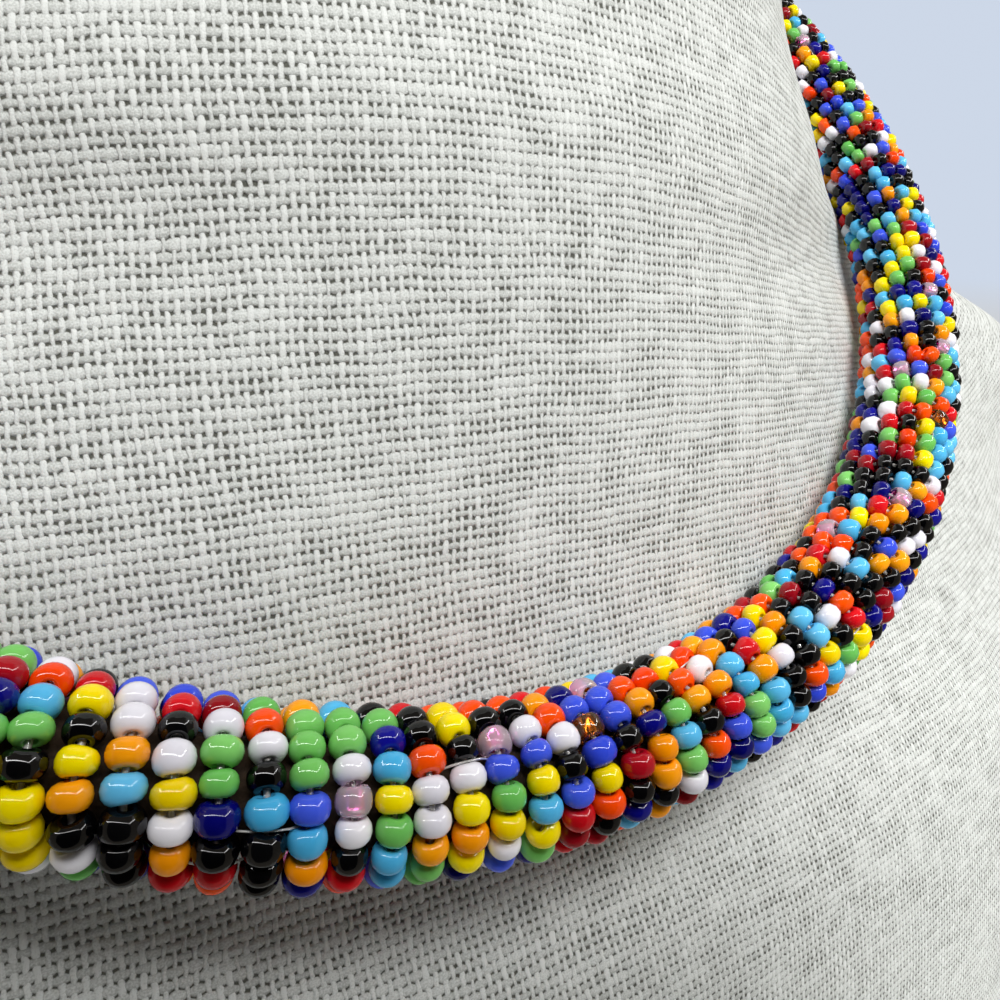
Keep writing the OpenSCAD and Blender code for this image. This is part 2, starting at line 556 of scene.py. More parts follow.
@dataclass(frozen=True)
class CottonCord(Finish):
    """Dark twisted cotton, seen only as shade in the gaps between the beads."""

    name: str = "dark cotton cord"
    pale: str = "#4A3A2C"
    deep: str = "#0E0A08"

    def look(self, add: Adder) -> dict:
        """Brown-black fibres that soak up the light."""
        fibre = self.grain(add, size_mm=0.35, detail=4.0)
        return {
            "Base Color": self.mix(add, fibre),
            "Roughness": 0.95,
            "Normal": self.relief(add, fibre, depth_mm=0.15, strength=0.8),
        }


@dataclass(frozen=True)
class BrushedSteel(Finish):
    """Turned and brushed steel, with fine rings from the lathe."""

    name: str = "brushed steel"
    pale: str = "#DAD9D5"
    deep: str = "#A9A8A4"
    scratch_mm: float = 0.12
    scratch_deep_mm: float = 0.02
    # The scratches run across the line, so they lie close along it only.
    drawn: tuple = (1.0, 0.08, 0.08)
    satin: tuple = (0.22, 0.36)

    def look(self, add: Adder) -> dict:
        """Satin metal with fine scratches.

        Args:
            add: Adds a node to the material.

        Returns:
            The inputs of the Principled shader.
        """
        scratches = self.grain(add, self.scratch_mm, detail=3.0, stretch=self.drawn)
        satin = add(RANGE, (scratches, *GRAIN_RANGE, *self.satin))
        bump = self.relief(add, scratches, self.scratch_deep_mm, strength=0.3)
        colour = self.mix(add, scratches)
        return {"Base Color": colour, "Roughness": satin, "Metallic": 1.0, "Normal": bump}


@dataclass(frozen=True)
class PaintedBackdrop(Finish):
    """Pale matt board for the floor, and cool paper lit from behind where it turns up."""

    name: str = "matt board and backlit paper"
    # The floor's paint; the paper only glows, so its own paint is black.
    deep: str = "#E9E9E7"
    pale: str = "#000000"
    wall: str = "#D4DFF0"
    glow: float = 0.92
    # Height over which the one gives way to the other.
    blend: float = 0.12

    def look(self, add: Adder) -> dict:
        """Let the floor's paint give way to glowing paper in the curve.

        Args:
            add: Adds a node to the material.

        Returns:
            The inputs of the Principled shader.
        """
        place = add("ShaderNodeTexCoord", out=3)
        rise = add(SPLIT, (place,), out=2)
        share = add(RANGE, (rise, 0.0, self.blend, 0.0, 1.0))
        lit = add(MATH, (share, self.glow), operation="MULTIPLY")
        glow = {"Emission Color": linear(self.wall), "Emission Strength": lit}
        return {"Base Color": self.mix(add, share), "Roughness": 0.9, **glow}


@dataclass(frozen=True)
class BlackCard(Finish):
    """Black paper card with a faint grain, which takes light away on one side."""

    name: str = "black paper"
    pale: str = "#1A1A1A"
    deep: str = "#0C0C0C"

    def look(self, add: Adder) -> dict:
        """Matt paper."""
        return {"Base Color": self.mix(add, self.grain(add, size_mm=0.8)), "Roughness": 0.9}


class GlassColour(Enum):
    """Colours of glass in the string: name, pale and deep shade, and share."""

    BLACK = ("black", "#08080A", "#010102", 22)
    WHITE = ("white", "#F4F2F8", "#E4E2EC", 12)
    YELLOW = ("yellow", "#FFE800", "#F4D200", 9)
    AMBER = ("amber", "#FFA410", "#F68E00", 7)
    ORANGE = ("orange", "#FF5408", "#F03C00", 9)
    RED = ("red", "#DC1620", "#B80E18", 7)
    DARK_RED = ("dark_red", "#A80E1E", "#800814", 4)
    SKY_BLUE = ("sky_blue", "#66C2F0", "#44AEE2", 11)
    ROYAL_BLUE = ("royal_blue", "#445EE6", "#2C42D0", 7)
    NAVY = ("navy", "#10108A", "#04045A", 8)
    PEA_GREEN = ("pea_green", "#80CC6A", "#60B652", 9)
    PINK_CRYSTAL = ("pink_crystal", "#FFF2F8", "#F6DCEA", 0.9, 0.32, "#FF9CD8", "#E45CB4")
    AMBER_CRYSTAL = ("amber_crystal", "#E8A860", "#B86A24", 0.9, 0.06, "#FFD890", "#C08A3C")

    def __init__(self, plain: str, pale: str, deep: str, share: float, *lined: float | str) -> None:
        """Keep the colour's values.

        Args:
            plain: Plain name of the colour.
            pale: Pale shade.
            deep: Deep shade.
            share: How often the colour comes up in the string.
            lined: For clear glass round a lined hole, how milky it is, and the lining's shades.
        """
        self.plain, self.pale, self.deep, self.share, self.lined = plain, pale, deep, share, lined

    def finishes(self) -> list[Material]:
        """Make the colour's materials.

        Returns:
            The glass and, where it is clear, its lining.
        """
        words = self.plain.replace("_", " ")
        if not self.lined:
            return [PressedGlass(f"{words} pressed glass", self.pale, self.deep).build()]
        milky, *shades = self.lined
        glass = CrystalGlass(f"{words} glass", self.pale, self.deep, milky)
        return [glass.build(), MirrorLining(f"{words} lining", *shades).build()]


# The necklace


@dataclass(frozen=True)
class Loop:
    """Middle line of the rope, an egg-shaped loop that rises to the nape."""

    half_width: float = 79.6 * MM
    half_length: float = 85.3 * MM
    tilt: float = math.radians(44.3)
    twist: float = 2.6 * MM
    egg: float = 0.035
    height: float = 150 * MM
    base_front: float = 72 * MM
    clasp_reach: float = 7.0 * MM
    rope_end_gap: float = 10 * MM
    samples: int = 6000
    # Half of the stretch of the loop that gives the direction at its middle.
    step: float = math.radians(0.25)

    @property
    def centre(self) -> np.ndarray:
        """Middle of the loop, with the whole part's box centred over the origin."""
        back = self.half_length * math.cos(self.tilt) + self.twist * math.sin(self.tilt)
        return np.array([0, (self.base_front - back - self.clasp_reach) / 2, self.height])

    @property
    def end_angle(self) -> float:
        """Angle from the clasp's middle to the rope's end."""
        return math.asin(self.rope_end_gap / self.half_width)

    def points(self, t: np.ndarray) -> np.ndarray:
        """Place points on the loop.

        Args:
            t: Angles, 0 at the right side and a quarter turn behind.

        Returns:
            One row of coordinates for each angle.
        """
        x = self.half_width * np.cos(t) * (1 + self.egg * np.sin(t))
        v = self.half_length * np.sin(t)
        w = self.twist * np.cos(2 * t)
        y = v * math.cos(self.tilt) - w * math.sin(self.tilt)
        z = v * math.sin(self.tilt) + w * math.cos(self.tilt)
        return np.stack([x, y, z], -1) + self.centre

    def axes(self, t: np.ndarray) -> tuple[np.ndarray, np.ndarray, np.ndarray]:
        """Find the rope's own directions.

        Args:
            t: Angles on the loop.

        Returns:
            Directions along the rope, across it and away from the loop's plane.
        """
        along = unit(self.points(t + self.step) - self.points(t - self.step))
        normal = np.array([0, -math.sin(self.tilt), math.cos(self.tilt)])
        side = unit(np.cross(along, normal))
        return along, side, np.cross(side, along)

    def measured(self) -> tuple[np.ndarray, np.ndarray]:
        """Measure the rope from one end to the other.

        Returns:
            Angles of its samples, and the rope's length up to each.
        """
        first = math.pi / 2 + self.end_angle
        t = np.linspace(first, first + 2 * (math.pi - self.end_angle), self.samples)
        steps = np.linalg.norm(np.diff(self.points(t), axis=0), axis=1)
        return t, np.concatenate([[0], np.cumsum(steps)])


@dataclass(frozen=True)
class BeadForm:
    """Section of a small round bead: a soft oval turned about the hole."""

    radius: float = 1.16 * MM
    half_length: float = 0.85 * MM
    hole: float = 0.26 * MM
    middle: float = 0.43 * MM
    square: float = 2.1
    # Faces line the hole if they are nearer its middle than this share of the section's middle.
    lined: float = 0.85

    def template(
        self, round_steps: int, section_steps: int
    ) -> tuple[np.ndarray, np.ndarray, np.ndarray]:
        """Make one bead about its hole.

        Args:
            round_steps: Points round the hole.
            section_steps: Points round the section.

        Returns:
            Points with the hole along the third axis, faces, and which faces
            line the hole.
        """
        s = circle(section_steps)
        r, z = (np.sign(x) * np.abs(x) ** (2 / self.square) for x in (np.cos(s), np.sin(s)))
        r = r * np.where(r > 0, self.radius - self.middle, self.middle - self.hole) + self.middle
        a = circle(round_steps)[:, None]
        high = np.broadcast_to(z * self.half_length, (round_steps, section_steps))
        points = np.stack([r * np.cos(a), r * np.sin(a), high], -1).reshape(-1, 3)
        faces = grid_faces(round_steps + 1, section_steps)[:, [0, 3, 2, 1]] % len(points)
        return points, faces, np.tile(r < self.middle * self.lined, round_steps)


@dataclass
class BeadWinding:
    """The string of beads, wound round the cord from one clasp end to the other."""

    loop: Loop
    eye: np.ndarray
    rope_d: float = 11.3 * MM
    bead_d: float = 2.32 * MM
    turn_pitch: float = 2.40 * MM
    string_pitch: float = 1.735 * MM
    end_room: float = 1.25 * MM
    # How much the beads' length and width vary, and the limits of both.
    vary_long: float = 0.045
    vary_wide: float = 0.038
    long_limits: tuple = (0.84, 1.2)
    wide_limits: tuple = (0.9, 1.1)
    # Share of the beads that are longer still, and by how much.
    long_beads: float = 0.05
    longer: float = 1.1
    # How far a bead's width, and its room on the string, follow its length.
    width_follows: float = 0.3
    room_follows: float = 0.65
    # Slow waves in how close the turns lie, and in their place: turns between knots, and size.
    crowding: tuple = (2.5, 0.022)
    drift: tuple = (0.3, 0.06 * MM)
    # How far single beads stray along the rope and away from it.
    stray: float = 0.05 * MM
    lift: float = 0.06 * MM
    # Share of the beads that sit loosely, and how far loose and other beads tip.
    loose_beads: float = 0.08
    tip: tuple = (0.2, 0.07)
    # How much thicker one side of a bead is than the middle.
    wedge: float = 0.05
    # Lean of the turns in degrees, by the loop's angle in degrees, and where it points.
    lean: tuple = (
        (0, 0), (236, 9), (246, 9), (252, 2), (258, -2.5), (275, -2), (300, 0), (360, 0),
    )
    lean_to: tuple = (0.13, 0.27, 0.95)
    line_r: float = 0.21 * MM
    line_sides: int = 4
    # Stitches that hold the turns down: how many, how many beads stay free at the ends,
    # half length in turns, half angle round the rope, rise over the beads and dive.
    stitches: int = 46
    stitch_free: int = 40
    stitch_span: tuple = (0.7, 1.1)
    stitch_turn: float = 0.05
    stitch_rise: float = 0.35 * MM
    stitch_dive: float = 1.1 * MM
    stitch_r: float = 0.08 * MM
    stitch_steps: int = 9
    seed: int = 417
    form: BeadForm = field(default_factory=BeadForm)
    # Clear beads have a wider hole, so their lining fills more of what one sees.
    clear_form: BeadForm = field(
        default_factory=lambda: BeadForm(hole=0.50 * MM, middle=0.64 * MM)
    )
    # Points round the hole and the section, by distance from the photograph's camera;
    # the last level is for the beads on the side turned away from it.
    levels: tuple = ((0.07, 26, 14), (0.12, 16, 10), (9.0, 12, 7), (9.0, 9, 5))
    # A bead is turned away where the cosine between its outer side and the camera is below this.
    away: float = -0.35
    # More beads are drawn than the string takes.
    spare: float = 1.1

    def __post_init__(self) -> None:
        """Lay out the string before anything is built."""
        self.random = np.random.default_rng(self.seed)
        self.angles, self.lengths = self.loop.measured()
        self.middle = (self.rope_d - self.bead_d) / 2
        self.lay_string()
        self.turn_beads()

    def place(
        self, s: np.ndarray, phi: np.ndarray, r: np.ndarray
    ) -> tuple[np.ndarray, np.ndarray]:
        """Find points of the winding.

        Args:
            s: Length along the rope.
            phi: Angle along the string, which runs backwards round the rope.
            r: Distance from the rope's middle line.

        Returns:
            The points and the directions away from the rope.
        """
        t = np.interp(s, self.lengths, self.angles)
        _, side, lift = self.loop.axes(t)
        out = np.cos(-phi)[:, None] * side + np.sin(-phi)[:, None] * lift
        return self.loop.points(t) + out * r[:, None], out

    def wave(self, phi: np.ndarray, turns: float, size: float) -> np.ndarray:
        """Draw a slow random wave along the string.

        Args:
            phi: Angle along the string.
            turns: Turns of the winding between two knots of the wave.
            size: Standard size of the wave.

        Returns:
            One value for each angle.
        """
        knots = np.arange(phi[0] - 1, phi[-1] + 2 * np.pi * turns + 1, 2 * np.pi * turns)
        return np.interp(phi, knots, self.random.normal(0, size, len(knots)))

    def lay_string(self) -> None:
        """Settle each bead's size and place."""
        draw = self.random.normal
        total = self.lengths[-1] - 2 * self.end_room
        whole = total / self.turn_pitch * 2 * np.pi
        rough = int(whole * self.middle / self.string_pitch * self.spare)
        long = draw(1, self.vary_long, rough)
        chance = self.random.random(rough)
        long = np.where(chance < self.long_beads, long * self.longer, long)
        long = np.clip(long, *self.long_limits)
        wide = draw(1, self.vary_wide, rough) + self.width_follows * (long - 1)
        room = 1 - self.room_follows + self.room_follows * long
        steps = self.string_pitch / self.middle * room
        phi = np.cumsum(steps) - steps / 2
        self.phi = phi = phi[phi < whole]
        self.count = count = len(phi)
        self.long, self.wide = long[:count], np.clip(wide, *self.wide_limits)[:count]
        s = np.cumsum(np.gradient(phi) * (1 + self.wave(phi, *self.crowding)))
        s = self.end_room + (s - s[0]) / (s[-1] - s[0]) * total
        s += self.wave(phi, *self.drift) + draw(0, self.stray, count)
        r = self.middle + draw(0, self.lift, count)
        _, out = self.place(s, phi, r)
        angle = np.degrees(np.interp(s, self.lengths, self.angles)) % 360
        lean = np.radians(np.interp(angle, *np.array(self.lean).T))
        self.s = s - np.tan(lean) * self.middle * (out @ np.array(self.lean_to))
        self.centres, self.out = self.place(self.s, phi, r)

    def turn_beads(self) -> None:
        """Settle each bead's direction, colour, flaws and level of detail."""
        draw, even = self.random.normal, self.random.random
        along = unit(np.gradient(self.centres, axis=0))
        loose = np.where(even(self.count) < self.loose_beads, *self.tip)
        along = unit(along + draw(0, 1, (self.count, 3)) * loose[:, None])
        across = unit(np.cross(along, self.out))
        self.frames = np.stack([across, np.cross(along, across), along], 1)
        shares = np.array([colour.share for colour in GlassColour], float)
        self.colour = self.random.choice(len(shares), self.count, p=shares / shares.sum())
        self.shade = even(self.count)
        # Each bead is turned about its hole, which moves its thick side.
        self.thick_side = even(self.count) * 2 * np.pi
        self.wedges = np.abs(draw(0, self.wedge, self.count))
        gaze = self.eye - self.centres
        far = np.linalg.norm(gaze, axis=1)
        facing = np.einsum("ij,ij->i", gaze, self.out) / far > self.away
        limits = np.array([level[0] for level in self.levels[:-1]])
        self.level = np.where(facing, np.searchsorted(limits, far), len(limits))

    def beads(
        self, chosen: np.ndarray, level: int, form: BeadForm
    ) -> tuple[Mesh, np.ndarray, np.ndarray]:
        """Make the beads of one colour at one level of detail.

        Args:
            chosen: Numbers of the beads.
            level: Level of detail.
            form: Section of the beads.

        Returns:
            Their mesh, which of its faces line a hole, and the shade of each point.
        """
        points, faces, lined = form.template(*self.levels[level][1:])
        spin = np.arctan2(points[:, 1], points[:, 0])
        tilt = 1 + self.wedges[chosen, None] * np.cos(spin - self.thick_side[chosen, None])
        shape = np.repeat(points[None], len(chosen), 0)
        shape[..., :2] *= self.wide[chosen, None, None]
        shape[..., 2] *= self.long[chosen, None] * tilt
        placed = np.einsum("nkj,njc->nkc", shape, self.frames[chosen])
        placed = (placed + self.centres[chosen, None]).reshape(-1, 3)
        faces = (faces + np.arange(len(chosen))[:, None, None] * len(points)).reshape(-1, 4)
        shade = np.repeat(self.shade[chosen], len(points))
        return (placed, faces), np.tile(lined, len(chosen)), shade

    def build_colour(self, index: int, colour: GlassColour) -> Piece:
        """Build all beads of one colour as one piece.

        Args:
            index: Number of the colour.
            colour: The colour itself.

        Returns:
            The dressed piece.
        """
        form = self.clear_form if colour.lined else self.form
        parts = []
        for level in range(len(self.levels)):
            chosen = np.flatnonzero((self.colour == index) & (self.level == level))
            parts.append(self.beads(chosen, level, form))
        meshes, lined, shade = zip(*parts)
        piece = make_piece(f"beads_{colour.plain}", *join(meshes))
        layer = piece.data.attributes.new("shade", "FLOAT", "POINT")
        layer.data.foreach_set("value", np.concatenate(shade).astype(np.float32))
        if colour.lined:
            slots = np.concatenate(lined).astype(np.int32)
            piece.data.polygons.foreach_set("material_index", slots)
        return settle(piece, "glass_beads", *colour.finishes())

    def build_line(self) -> Piece:
        """Build the clear line through the beads, and its stitches.

        Returns:
            The dressed piece.
        """
        half = np.arange(2 * self.count - 1) / 2
        phi, s = (np.interp(half, np.arange(self.count), row) for row in (self.phi, self.s))
        centres, out = self.place(s, phi, np.full(len(half), self.middle))
        parts = [tube(centres, self.line_r, out, self.line_sides)]
        x = np.linspace(-1, 1, self.stitch_steps)
        # Each stitch rises over the beads and dives between them at both ends.
        height = self.middle + self.stitch_rise - self.stitch_dive * np.abs(x) ** 3
        for _ in range(self.stitches):
            at = self.random.integers(self.stitch_free, self.count - self.stitch_free)
            around = (self.phi[at] + self.phi[at + 1]) / 2 - x * self.stitch_turn
            over = self.s[at] + x * self.turn_pitch * self.random.uniform(*self.stitch_span)
            line, out = self.place(over, around, height)
            parts.append(tube(line, self.stitch_r, out, self.line_sides))
        piece = make_piece("bead_string", *join(parts))
        return settle(piece, "core_cord", NylonLine().build())

    def build(self) -> list[Piece]:
        """Build every colour of bead and the line, in place of the plain winding.

        Returns:
            All pieces, the line last.
        """
        made = [self.build_colour(i, colour) for i, colour in enumerate(GlassColour)]
        made.append(self.build_line())
        for piece in made:
            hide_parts("bead_winding")
        LOG.info("bead winding: %d beads in %d pieces", self.count, len(made) - 1)
        return made


@dataclass
class RopeCore:
    """Padded cord inside the beads: three strands laid up with a slow twist."""

    loop: Loop
    diameter: float = 6.4 * MM
    strands: int = 3
    lay: float = 14 * MM
    groove: float = 0.22 * MM
    rings: int = 320
    sides: int = 20

    def build(self) -> Piece:
        """Build the cord and its closed ends.

        Returns:
            The dressed piece.
        """
        t, lengths = self.loop.measured()
        pick = np.linspace(0, len(t) - 1, self.rings).astype(int)
        t, s = t[pick], lengths[pick]
        _, side, lift = self.loop.axes(t)
        turn = self.strands / 2 * (circle(self.sides) - 2 * np.pi * s[:, None] / self.lay)
        radius = self.diameter / 2 - self.groove * (1 - np.abs(np.sin(turn)))
        points = rings(self.loop.points(t), side, lift, radius)
        first = np.arange(self.sides)
        caps = [first[::-1], (self.rings - 1) * self.sides + first]
        piece = make_piece("twisted_cord", points, grid_faces(self.rings, self.sides), caps)
        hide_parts("rope_core")
        return settle(piece, "core_cord", CottonCord().build())


@dataclass
class Clasp:
    """Barrel clasp: a screwed barrel between two bells that take the rope's ends."""

    loop: Loop
    # Outline of a bell in millimetres, from its end on the barrel, round the cup that the
    # rope's end sits in, to its middle: place along the line, and radius.
    bell_outline: tuple = (
        (-4.5, 3.8), (-4.4, 4.0), (-4.2, 4.1), (-3.6, 4.15), (-3.4, 3.95), (-3.15, 3.95),
        (-2.95, 4.25), (-3.0, 4.22), (-2.3, 4.6), (-1.7, 5.25), (-1.2, 6.0), (-0.7, 6.75),
        (-0.3, 6.95), (0.1, 7.0), (2.6, 7.0), (2.8, 6.78), (3.1, 6.78), (3.3, 7.0),
        (4.4, 7.0), (4.85, 6.9), (5.0, 6.7), (5.0, 6.2), (4.9, 6.1), (-0.25, 6.1),
        (-0.3, 6.0), (-0.3, 0.5),
    )
    # Outline of half of the barrel in millimetres, from the fine groove in its middle: place
    # along the line, radius, and whether it is knurled.
    barrel_outline: tuple = (
        (0.0, 2.9, 0), (0.12, 2.95, 0), (0.3, 3.18, 0), (0.5, 3.2, 0), (0.9, 3.2, 0),
        (1.0, 3.2, 1), (2.6, 3.2, 1), (2.7, 3.2, 0), (3.1, 3.2, 0), (3.2, 3.06, 0),
        (3.45, 3.06, 0), (3.55, 3.2, 0), (7.75, 3.2, 0),
    )
    ribs: int = 40
    rib_h: float = 0.09 * MM
    sides: int = 120
    sharp: float = math.radians(38)

    def turned(self, name: str, t: float, sign: int, outline: np.ndarray) -> Piece:
        """Turn one closed outline about the rope's line.

        Args:
            name: Name of the piece.
            t: Angle of its origin on the loop.
            sign: 1 to turn it the way the loop runs, -1 the other way.
            outline: Place, radius and share of the ribs' height at each ring.

        Returns:
            The piece, its first and last ring closed.
        """
        t = np.array([t])
        along = unit(self.loop.axes(t)[0][0] * sign)
        side = unit(np.cross(along, np.array([0, 0, 1.0])))
        place, radius, ribbed = outline.T[..., None]
        rib = 0.5 + 0.5 * np.cos(self.ribs * circle(self.sides))
        radius = radius * MM - ribbed * self.rib_h * rib
        centres = self.loop.points(t) + place * MM * along
        points = rings(centres, side, np.cross(side, along), radius)
        first = np.arange(self.sides)
        caps = [first, (len(outline) - 1) * self.sides + first[::-1]]
        return make_piece(name, points, grid_faces(len(outline), self.sides)[:, ::-1], caps)

    def build(self) -> list[Piece]:
        """Build the clasp's three turned parts in place of the plain clasp.

        Returns:
            The barrel and the two bells, dressed.
        """
        steel = BrushedSteel().build()
        behind, end = math.pi / 2, self.loop.end_angle
        half = np.array(self.barrel_outline)
        barrel = np.concatenate([half[:0:-1] * (-1, 1, 1), half])
        bell = np.pad(np.array(self.bell_outline), ((0, 0), (0, 1)))
        made = [
            self.turned("clasp_barrel", behind, -1, barrel),
            self.turned("clasp_bell_left", behind + end, 1, bell),
            self.turned("clasp_bell_right", behind - end, -1, bell),
        ]
        for piece in made:
            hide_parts("clasp")
            settle(piece, "clasp_metal", steel)
            piece.data.set_sharp_from_angle(angle=self.sharp)
        return made


# The bust


@dataclass
class ClothPattern:
    """Flat pattern of the cloth on a closed skin, found with the least stretch.

    Each short edge between two points of the skin should keep its length and turn
    with its neighbours. The pattern is solved for that, then each point's turn is
    taken from it, and so on for some rounds.
    """

    points: np.ndarray
    girth: np.ndarray
    rounds: int = 6
    steps: int = 450
    # The front counts most: the weight falls off over this many millimetres.
    front_mm: float = 75.0
    least: float = 0.08
    # Keeps very short edges from ruling the rest, in millimetres.
    soften: float = 4e-3
    enough: float = 1e-7

    def __post_init__(self) -> None:
        """Measure the edges, by level and angle, in the plane that touches each point."""
        round_skin = np.gradient(self.points, axis=1)
        normal = unit(np.cross(round_skin, np.gradient(self.points, axis=0)))
        level = unit(round_skin * np.array([1, 1, 0]))
        slope = np.cross(normal, level)
        self.edges, self.weights = [], []
        importance = self.least + np.exp(-((self.girth / self.front_mm) ** 2))
        for axis in (0, 1):
            low, high = self.ends(axis)
            edge = self.points[high] - self.points[low]
            size = np.linalg.norm(edge, axis=-1)
            turned = []
            for end in (low, high):
                flat = (edge * level[end]).sum(-1) + 1j * (edge * slope[end]).sum(-1)
                turned.append(flat / (np.abs(flat) + 1e-9) * size)
            width = self.spans(1 - axis)
            both = (width[low] + width[high]) * (importance[low] + importance[high])
            self.edges.append(turned)
            self.weights.append(both / (4 * size + self.soften))

    @staticmethod
    def ends(axis: int) -> tuple[tuple, tuple]:
        """Slices of the two ends of all edges along one axis, 0 up the skin and 1 round it."""
        return ((np.s_[:-1, :], np.s_[1:, :]), (np.s_[:, :-1], np.s_[:, 1:]))[axis]

    def spans(self, axis: int) -> np.ndarray:
        """Width of skin that each point stands for along one axis.

        Args:
            axis: 0 for up the skin, 1 for round it.

        Returns:
            One width for each point.
        """
        low, high = self.ends(axis)
        size = np.linalg.norm(self.points[high] - self.points[low], axis=-1) / 2
        width = np.zeros(self.girth.shape)
        width[low] += size
        width[high] += size
        return width

    def gather(self, pulls: Sequence[np.ndarray]) -> np.ndarray:
        """Add up at each point what its edges pull.

        Args:
            pulls: Pull of each edge on its far end, by axis.

        Returns:
            One sum for each point.
        """
        total = np.zeros(self.girth.shape, complex)
        for axis, pull in enumerate(pulls):
            low, high = self.ends(axis)
            total[high] += pull
            total[low] -= pull
        return total

    def spread(self, pattern: np.ndarray) -> list[np.ndarray]:
        """Weighted edges of a pattern, by axis."""
        ends = [self.ends(axis) for axis in (0, 1)]
        return [w * (pattern[high] - pattern[low]) for w, (low, high) in zip(self.weights, ends)]

    def solve(self, turn: np.ndarray, pattern: np.ndarray) -> np.ndarray:
        """Find the pattern whose edges come closest to the turned ones.

        Args:
            turn: Turn of each point, a complex number of size 1.
            pattern: Pattern to start from.

        Returns:
            The better pattern.
        """
        wanted = []
        share = np.zeros(self.girth.shape)
        for axis, (weight, (first, last)) in enumerate(zip(self.weights, self.edges)):
            low, high = self.ends(axis)
            wanted.append(weight * (turn[low] * first + turn[high] * last) / 2)
            share[low] += weight
            share[high] += weight
        rest = self.gather(wanted) - self.gather(self.spread(pattern))
        step = rest / share
        size = np.vdot(rest, step).real
        for _ in range(self.steps):
            pulled = self.gather(self.spread(step))
            stride = size / np.vdot(step, pulled).real
            pattern = pattern + stride * step
            rest = rest - stride * pulled
            eased = rest / share
            new = np.vdot(rest, eased).real
            if new < self.enough:
                break
            step = eased + new / size * step
            size = new
        return pattern

    def unfold(self) -> np.ndarray:
        """Solve for the pattern.

        Returns:
            Place of each point in the flat, in millimetres, as a complex number.
        """
        front = self.girth.shape[1] // 2
        rise = np.linalg.norm(np.diff(self.points[:, front], axis=0), axis=-1)
        pattern = self.girth + 1j * np.concatenate([[0], np.cumsum(rise)])[:, None]
        turn = np.ones(self.girth.shape, complex)
        for _ in range(self.rounds):
            pattern = self.solve(turn, pattern)
            swing = np.zeros(self.girth.shape, complex)
            for axis, laid in enumerate(self.spread(pattern)):
                for end, edge in zip(self.ends(axis), self.edges[axis]):
                    swing[end] += edge.conj() * laid
            turn = swing / (np.abs(swing) + 1e-12)
        return pattern - pattern[0, front]


def lay_cloth(piece: Piece, places: np.ndarray, laid: Sequence = ()) -> None:
    """Give a piece its cloth coordinates in millimetres.

    Args:
        piece: A piece of cloth or yarn.
        places: Place of each vertex on the cloth.
        laid: Places of the first face corners, where they differ from that.
    """
    number = np.empty(len(piece.data.loops), np.int32)
    piece.data.loops.foreach_get("vertex_index", number)
    flat = places.astype(np.float32)[number]
    flat[: len(laid)] = np.reshape(laid, (-1, 2))
    layer = piece.data.uv_layers.new(name="cloth_mm")
    layer.data.foreach_set("uv", flat.ravel())


class Column(Enum):
    """Columns of the bust's rows."""

    HEIGHT = 0
    HALF_WIDTH = 1
    FRONT = 2
    BACK = 3
    HOLLOW = 4
    RIM = 5


